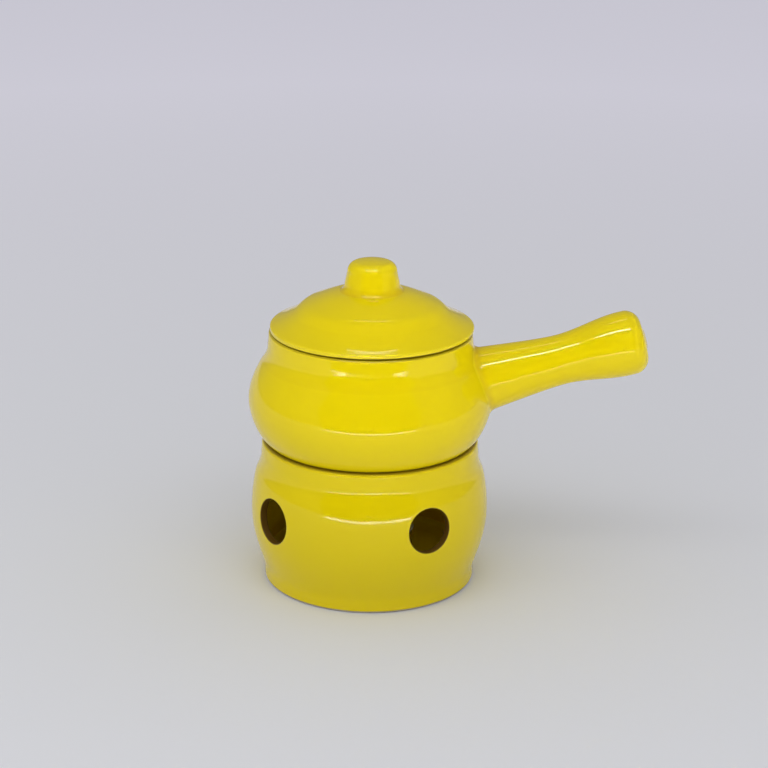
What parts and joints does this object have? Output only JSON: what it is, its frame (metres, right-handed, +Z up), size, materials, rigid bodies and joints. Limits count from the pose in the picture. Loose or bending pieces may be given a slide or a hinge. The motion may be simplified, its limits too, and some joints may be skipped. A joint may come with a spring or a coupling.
{
  "type": "individual fondue pot",
  "caption": "Glazed ceramic pot with one side handle and a domed, knobbed lid, standing on a vented ceramic burner stand that holds a tealight.",
  "frame": {"origin": "centre of the stand's foot, on the surface the set stands on", "axes": "+Z up, +X along the pot's handle, away from the pot"},
  "size_m": [0.1668, 0.1022, 0.1387],
  "materials": {
    "yellow_glaze": "gloss yellow glaze, thinner at edges, bare clay on the foot rings",
    "cup_metal": "thin drawn foil, satin",
    "paraffin": "white candle wax, slightly waxy sheen",
    "wick_cotton": "braided waxed cotton",
    "tab_metal": "tinned sheet"
  },
  "bodies": {
    "stand": {"burner_stand": "yellow_glaze"},
    "pot": {"pot_bowl": "yellow_glaze", "pot_handle": "yellow_glaze"},
    "lid": {"lid_dome": "yellow_glaze", "lid_knob": "yellow_glaze"},
    "tealight": {"tealight_cup": "cup_metal", "tealight_wax": "paraffin", "tealight_wick": "wick_cotton", "wick_tab": "tab_metal"}
  },
  "joints": [
    {"name": "pot_lift", "type": "slide", "parent": "stand", "child": "pot", "axis": [0, 0, 1], "range_m": [0, 0.12]},
    {"name": "lid_lift", "type": "slide", "parent": "pot", "child": "lid", "axis": [0, 0, 1], "range_m": [0, 0.06]},
    {"name": "tealight_lift", "type": "slide", "parent": "stand", "child": "tealight", "axis": [0, 0, 1], "range_m": [0, 0.075]}
  ],
  "couplings": [
    {"joint": "tealight_lift", "follows": "pot_lift", "ratio": 0.6}
  ]
}
